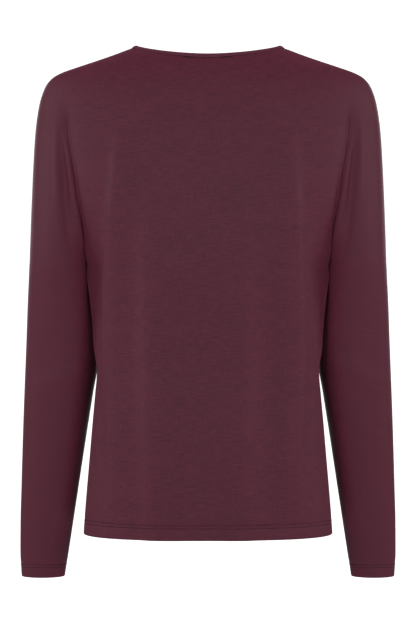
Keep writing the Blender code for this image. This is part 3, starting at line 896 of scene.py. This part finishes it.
def plum_jersey(name, dark, light):
    """Single jersey of cotton and elastane, piece-dyed plum: fine level slubs and a soft, low sheen."""
    cloth = bpy.data.materials.new(name)
    cloth.use_nodes = True
    tree = cloth.node_tree
    shader = tree.nodes["Principled BSDF"]
    cut = add_node(tree, "ShaderNodeUVMap", {"uv_map": "cut"}, {})
    where = add_node(tree, "ShaderNodeTexCoord", {}, {})
    sides = add_node(tree, "ShaderNodeSeparateXYZ", {}, {0: where.outputs["Object"]})
    aside = add_node(tree, "ShaderNodeMath", {"operation": "ABSOLUTE"}, {0: sides.outputs["X"]})
    start, end = GRAIN_FADE
    fade = {"From Min": start * MM, "From Max": end * MM, "To Min": 1.0, "To Max": GRAIN_LEFT}
    shown = add_node(tree, "ShaderNodeMapRange", {}, {"Value": aside.outputs[0], **fade})
    grains = []
    tone = 0.5
    for across, down, detail, share in GRAINS:
        scale = (1 / (across * MM), 1 / (down * MM), 1.0)
        spread = add_node(tree, "ShaderNodeMapping", {}, {"Vector": cut.outputs["UV"], "Scale": scale})
        noise = add_node(
            tree,
            "ShaderNodeTexNoise",
            {"noise_dimensions": "2D"},
            {"Vector": spread.outputs["Vector"], "Scale": 1.0, "Detail": detail, "Roughness": 0.55},
        )
        grains.append(noise.outputs["Fac"])
        centred = add_node(tree, "ShaderNodeMath", {"operation": "SUBTRACT"}, {0: grains[-1], 1: 0.5})
        factors = {0: centred.outputs[0], 1: shown.outputs["Result"]}
        faded = add_node(tree, "ShaderNodeMath", {"operation": "MULTIPLY"}, factors)
        terms = {0: faded.outputs[0], 1: share, 2: tone}
        tone = add_node(tree, "ShaderNodeMath", {"operation": "MULTIPLY_ADD"}, terms).outputs[0]
    colours = {0: tone, 6: linear(dark), 7: linear(light)}
    colour = add_node(tree, "ShaderNodeMix", {"data_type": "RGBA"}, colours)
    tree.links.new(colour.outputs[2], shader.inputs["Base Color"])
    scale = (1 / (LOOP[0] * MM), 1 / (LOOP[1] * MM), 1.0)
    loops = add_node(tree, "ShaderNodeMapping", {}, {"Vector": cut.outputs["UV"], "Scale": scale})
    knit = add_node(
        tree,
        "ShaderNodeTexVoronoi",
        {"voronoi_dimensions": "2D", "feature": "SMOOTH_F1"},
        {"Vector": loops.outputs["Vector"], "Scale": 1.0, "Randomness": 0.35},
    )
    terms = {0: knit.outputs["Distance"], 1: -0.5, 2: grains[0]}
    relief = add_node(tree, "ShaderNodeMath", {"operation": "MULTIPLY_ADD"}, terms)
    height = {"Strength": 0.25, "Distance": LOOP_RELIEF * MM, "Height": relief.outputs[0]}
    bump = add_node(tree, "ShaderNodeBump", {}, height)
    tree.links.new(bump.outputs["Normal"], shader.inputs["Normal"])
    shader.inputs["Roughness"].default_value = 0.7
    shader.inputs["Diffuse Roughness"].default_value = 1.0
    shader.inputs["Specular IOR Level"].default_value = 0.2
    shader.inputs["Sheen Weight"].default_value = 0.1
    shader.inputs["Sheen Roughness"].default_value = 0.4
    shader.inputs["Sheen Tint"].default_value = linear("a06a78")
    return cloth


jersey = plum_jersey("plum single jersey", "391522", "632839")
for name in ("back", "front"):
    panel = make_panel(name)
    piece = cloth_object(name + "_cloth", panel.points, np.concatenate(panel.quads), panel.cut)
    piece.data.materials.append(jersey)
    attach(piece, "root")
    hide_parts(name)


# ---- The neck binding --------------------------------------------------------------------------------------
# A strip of the same jersey, cut across the cloth and folded over the neck's raw edge. It rolls out to its
# seam, about 7 mm below the edge, and lies flat inside.

BINDING_FOLD = (
    # down from the neck's edge, out from the form, from the seam outside over the edge to the seam inside
    (7.0, -1.3),
    (7.3, -0.6),
    (7.2, 0.1),
    (6.8, 0.5),
    (5.4, 1.0),
    (3.8, 1.25),
    (2.2, 1.3),
    (1.0, 1.0),
    (0.25, 0.45),
    (-0.05, -0.3),
    (0.1, -1.2),
    (0.7, -1.8),
    (2.0, -2.05),
    (4.0, -2.1),
    (6.0, -2.0),
    (7.0, -1.75),
)
INSIDE_FROM = -0.6  # the fold's points further in than this lie inside
BINDING_STATIONS = 48  # from the centre to the shoulder
BESIDE = 0.004  # the step round the neck by which the way along it is measured
LEVEL_CLOTH = 0.3  # cloth more level than this has its outside on top


def ring_stations(count):
    """Panel, side and share of columns all round the neck, from the centre back to its left and round."""
    shares = [k / count for k in range(count)]
    back = [1 - share for share in shares]
    stations = [("back", 1, share) for share in shares]
    stations += [("front", 1, share) for share in back]
    stations += [("front", -1, share) for share in shares]
    stations += [("back", -1, share) for share in back]
    return stations


def ring_frame(panel, sign, share, down):
    """A point at a length down from the neck's edge, and the cloth's outward direction there."""
    point = along(panel, share, max(0.0, down))
    way = (along(panel, share, max(0.0, down) + 1.0) - point).normalized()
    beside = share + BESIDE if share < 0.5 else share - BESIDE
    run = along(panel, beside, max(0.0, down)) - point
    out = way.cross(run).normalized()
    inwards = out.z < 0 if abs(out.z) > LEVEL_CLOTH else (out.y > 0) != (panel == "back")
    if inwards:
        out = -out
    if down < 0:
        point = point + way * down
    return [Vector((v.x * sign, v.y, v.z)) for v in (point, out)]


binding_points = []
binding_cut = []
round_length = 0.0
last = None
for panel, sign, share in ring_stations(BINDING_STATIONS):
    edge = ring_frame(panel, sign, share, 0.0)[0]
    round_length += (edge - last).length if last else 0.0
    last = edge
    for down, out in BINDING_FOLD:
        point, outward = ring_frame(panel, sign, share, down)
        binding_points.append(tuple(point + outward * out))
        binding_cut.append((round_length, -down if out > INSIDE_FROM else down))
ring = 4 * BINDING_STATIONS
fold_points = len(BINDING_FOLD)
binding_grid = np.arange(ring * fold_points).reshape(ring, fold_points)
binding_grid = np.concatenate([binding_grid, binding_grid[:1]])
binding_quads = quads_of(binding_grid, True)
binding = cloth_object("neck_binding_cloth", binding_points, binding_quads, binding_cut)
binding.data.materials.append(plum_jersey("plum single jersey, cut across", "3d1725", "683041"))
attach(binding, "root")
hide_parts("neck_binding")


# ---- Stitching ---------------------------------------------------------------------------------------------
# Twin-needle stitches of plum polyester thread hold the turned hem and cuffs. A single row runs along the
# binding's seam, and two short rows tack the cloth just below it at the centre back.

THREAD_WIDE = 0.7  # the thread is 0.25 mm; it is drawn wider, or it would not show
THREAD_THICK = 0.4
PLY = 0.6  # the length of one turn of its two plies
TWIN_STITCH = (2.3, THREAD_WIDE, THREAD_THICK)
TWIN_PITCH = 2.8
SEAM_STITCH = (2.1, THREAD_WIDE, THREAD_THICK)
SEAM_PITCH = 2.4
SEAM_AT = 7.4  # below the neck's edge
RAISED = 0.35  # the stitches' middle over the cloth
TACK_STITCH = (1.5, 0.8, 0.5)
TACK_PITCH = 0.9
TACK_AT = 8.0
TACK_RAISED = 0.5
TACK_PLACES = (-16.5, 17.5)  # x of the two tacks
TACK_LONG = 8.0
TACK_POINTS = 5
HALF_BACK_NECK = 105.0  # about the neck edge's length from the centre back to the shoulder


def stitch_tree():
    """Geometry nodes that lay stitches end to end along an edge path, flat on the cloth."""
    tree = bpy.data.node_groups.new("row of stitches", "GeometryNodeTree")
    sockets = (
        ("Path", "NodeSocketGeometry", None),
        ("Pitch", "NodeSocketFloat", TWIN_PITCH * MM),
        ("Stitch size", "NodeSocketVector", [v / 2 * MM for v in TWIN_STITCH]),
        ("Thread", "NodeSocketMaterial", None),
    )
    for name, kind, value in sockets:
        socket = tree.interface.new_socket(name, in_out="INPUT", socket_type=kind)
        if value is not None:
            socket.default_value = value
    tree.interface.new_socket("Stitches", in_out="OUTPUT", socket_type="NodeSocketGeometry")
    given = add_node(tree, "NodeGroupInput", {}, {})
    curve = add_node(tree, "GeometryNodeMeshToCurve", {}, {"Mesh": given.outputs["Path"]})
    spots = add_node(
        tree,
        "GeometryNodeResampleCurve",
        {"mode": "LENGTH"},
        {"Curve": curve.outputs["Curve"], "Length": given.outputs["Pitch"]},
    )
    tangent = add_node(tree, "GeometryNodeInputTangent", {}, {})
    out = add_node(tree, "GeometryNodeInputNamedAttribute", {"data_type": "FLOAT_VECTOR"}, {"Name": "out"})
    turn = add_node(
        tree,
        "FunctionNodeAxesToRotation",
        {"primary_axis": "X", "secondary_axis": "Z"},
        {0: tangent.outputs["Tangent"], 1: out.outputs["Attribute"]},
    )
    bead = add_node(tree, "GeometryNodeMeshUVSphere", {}, {"Segments": 8, "Rings": 5, "Radius": 1.0})
    laid = add_node(
        tree,
        "GeometryNodeInstanceOnPoints",
        {},
        {
            "Points": spots.outputs["Curve"],
            "Instance": bead.outputs["Mesh"],
            "Rotation": turn.outputs["Rotation"],
            "Scale": given.outputs["Stitch size"],
        },
    )
    real = add_node(tree, "GeometryNodeRealizeInstances", {}, {"Geometry": laid.outputs["Instances"]})
    smooth = add_node(tree, "GeometryNodeSetShadeSmooth", {}, {"Geometry": real.outputs["Geometry"]})
    coloured = add_node(
        tree,
        "GeometryNodeSetMaterial",
        {},
        {"Geometry": smooth.outputs["Geometry"], "Material": given.outputs["Thread"]},
    )
    add_node(tree, "NodeGroupOutput", {}, {"Stitches": coloured.outputs["Geometry"]})
    return tree


def plum_thread():
    """Spun two-ply polyester sewing thread, dyed to match: a little darker and smoother than the cloth."""
    thread = bpy.data.materials.new("plum polyester thread")
    thread.use_nodes = True
    tree = thread.node_tree
    shader = tree.nodes["Principled BSDF"]
    where = add_node(tree, "ShaderNodeTexCoord", {}, {})
    ply = add_node(
        tree,
        "ShaderNodeTexNoise",
        {},
        {"Vector": where.outputs["Object"], "Scale": 1 / (PLY * MM), "Detail": 1.0},
    )
    tone = add_node(
        tree,
        "ShaderNodeMix",
        {"data_type": "RGBA"},
        {0: ply.outputs["Fac"], 6: linear("1e0b12"), 7: linear("36151f")},
    )
    tree.links.new(tone.outputs[2], shader.inputs["Base Color"])
    shader.inputs["Roughness"].default_value = 0.7
    shader.inputs["Specular IOR Level"].default_value = 0.15
    return thread


def stitches(name, runs, pitch, size):
    """A piece of stitches along runs. A run is its points, their outward directions, and if it closes."""
    mesh = bpy.data.meshes.new(name)
    points, outs, edges = [], [], []
    for places, directions, closed in runs:
        first = len(points)
        points += [tuple(np.array(p) * MM) for p in places]
        outs += [tuple(d) for d in directions]
        edges += [(k, k + 1) for k in range(first, len(points) - 1)]
        if closed:
            edges.append((len(points) - 1, first))
    mesh.from_pydata(points, edges, [])
    layer = mesh.attributes.new("out", "FLOAT_VECTOR", "POINT")
    layer.data.foreach_set("vector", np.array(outs).ravel())
    piece = bpy.data.objects.new(name, mesh)
    bpy.context.scene.collection.objects.link(piece)
    row = piece.modifiers.new("stitches", "NODES")
    row.node_group = stitch_nodes
    given = [item for item in stitch_nodes.interface.items_tree if item.in_out == "INPUT"]
    identifiers = {item.name: item.identifier for item in given}
    row[identifiers["Pitch"]] = pitch * MM
    row[identifiers["Stitch size"]] = [v / 2 * MM for v in size]
    row[identifiers["Thread"]] = thread
    made = piece.evaluated_get(bpy.context.evaluated_depsgraph_get())
    plain = bpy.data.meshes.new_from_object(made)
    piece.modifiers.clear()
    piece.data = plain
    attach(piece, "root")
    return piece


def round_row(kind, sign, up):
    """The closed run of net places at a height above an edge, round one sleeve or the body."""
    edge = HEM if kind == "torso" else CUFF
    found_rows = {}
    for panel, side, part, grid in net.grids:
        if part == kind and (sign == 0 or side == sign):
            row = min(grid[1:], key=lambda places: abs(net.points[places[1]][2] - edge - up))
            found_rows[panel, side] = row
    if kind == "sleeve":
        return found_rows["back", sign] + found_rows["front", sign][-2:0:-1]
    return (
        found_rows["back", 1]
        + found_rows["front", 1][-2::-1]
        + found_rows["front", -1][1:]
        + found_rows["back", -1][-2:0:-1]
    )


stitch_nodes = stitch_tree()
thread = plum_thread()
STITCHED_EDGES = (
    # name, kind, side (0 is both)
    ("hem_stitches", "torso", 0),
    ("left_cuff_stitches", "sleeve", 1),
    ("right_cuff_stitches", "sleeve", -1),
)
for name, kind, sign in STITCHED_EDGES:
    runs = []
    for up in STITCH_LINES["hem" if kind == "torso" else "cuff"]:
        row = round_row(kind, sign, up)
        runs.append((net_points[row] + net_normals[row] * RAISED, net_normals[row], True))
    stitches(name, runs, TWIN_PITCH, TWIN_STITCH)


def neck_run(frames, raised, closed):
    """A run of stitches over places on the cloth round the neck."""
    return [tuple(point + out * raised) for point, out in frames], [out for _, out in frames], closed


seam_frames = [ring_frame(*station, SEAM_AT) for station in ring_stations(BINDING_STATIONS)]
seam_run = neck_run(seam_frames, RAISED, True)
stitches("binding_stitches", [seam_run], SEAM_PITCH, SEAM_STITCH)

tack_runs = []
for middle in TACK_PLACES:
    tack_frames = []
    for step in range(TACK_POINTS):
        x = middle + TACK_LONG * (step / (TACK_POINTS - 1) - 0.5)
        tack_frames.append(ring_frame("back", 1 if x > 0 else -1, abs(x) / HALF_BACK_NECK, TACK_AT))
    tack_runs.append(neck_run(tack_frames, TACK_RAISED, False))
stitches("label_tacks", tack_runs, TACK_PITCH, TACK_STITCH)


# ---- Studio ------------------------------------------------------------------------------------------------
# The camera looks square at the back, as in the photo. Six square soft boxes stand round the top, two beside
# the camera, two at its sides and two before its front, over a white floor and before a white backdrop.

CAMERA_AWAY = 3.0
CAMERA_HEIGHT = -0.344
PIXEL = 0.0012955  # metres on the middle plane to a pixel of the picture
PICTURE_HIGH = 624

camera_data = bpy.data.cameras.new("camera")
camera_data.sensor_width = 36.0
camera_data.lens = camera_data.sensor_width * CAMERA_AWAY / (PICTURE_HIGH * PIXEL)
camera = bpy.data.objects.new("camera", camera_data)
camera.location = (0.0, CAMERA_AWAY, CAMERA_HEIGHT)
camera.rotation_euler = (math.radians(90), 0.0, math.radians(180))
bpy.context.scene.collection.objects.link(camera)
bpy.context.scene.camera = camera


def white_card(name, corners, glow):
    """A sheet of board painted matt white, which glows a little so that it shows white."""
    mesh = bpy.data.meshes.new(name)
    mesh.from_pydata(corners, [], [(0, 1, 2, 3)])
    card = bpy.data.objects.new(name, mesh)
    bpy.context.scene.collection.objects.link(card)
    paint = bpy.data.materials.new(name + ", matt white paint")
    paint.use_nodes = True
    shader = paint.node_tree.nodes["Principled BSDF"]
    shader.inputs["Base Color"].default_value = linear("f4f4f4")
    shader.inputs["Roughness"].default_value = 0.8
    shader.inputs["Emission Color"].default_value = (1, 1, 1, 1)
    shader.inputs["Emission Strength"].default_value = glow
    mesh.materials.append(paint)


FLOOR = -1.9
FLOOR_HALF = 9.0
BACKDROP_Y = -7.0
BACKDROP_HALF = 1.5
BACKDROP_TOP = 1.5
corners = ((-1, -1), (1, -1), (1, 1), (-1, 1))
white_card("floor", [(x * FLOOR_HALF, y * FLOOR_HALF, FLOOR) for x, y in corners], 0.1)
heights = {-1: FLOOR, 1: BACKDROP_TOP}
white_card("backdrop", [(x * BACKDROP_HALF, BACKDROP_Y, heights[up]) for x, up in corners], 1.0)

BOX_SIZE = 0.9
SOFT_BOXES = (
    # turn from the camera's side and climb in degrees, distance, watts
    (22, 13, 2.5, 28.5),
    (-22, 13, 2.5, 28.5),
    (88, 20, 2.5, 33.0),
    (-88, 20, 2.5, 29.5),
    (158, 12, 2.6, 24.0),
    (-158, 12, 2.6, 24.0),
)
aim = Vector((0.0, 0.0, CAMERA_HEIGHT))
for number, (turn, climb, away, watts) in enumerate(SOFT_BOXES):
    box = bpy.data.lights.new(f"soft_box_{number}", "AREA")
    box.shape = "SQUARE"
    box.size = BOX_SIZE
    box.energy = watts
    turn, climb = math.radians(turn), math.radians(climb)
    towards = Vector((math.sin(turn) * math.cos(climb), math.cos(turn) * math.cos(climb), math.sin(climb)))
    lamp = bpy.data.objects.new(f"soft_box_{number}", box)
    lamp.location = aim + towards * away
    lamp.rotation_euler = (-towards).to_track_quat("-Z", "Y").to_euler()
    bpy.context.scene.collection.objects.link(lamp)

world = bpy.data.worlds.new("pale surround")
world.use_nodes = True
world.node_tree.nodes["Background"].inputs["Color"].default_value = (1, 1, 1, 1)
world.node_tree.nodes["Background"].inputs["Strength"].default_value = 0.015
bpy.context.scene.world = world
bpy.context.scene.view_settings.view_transform = "Standard"
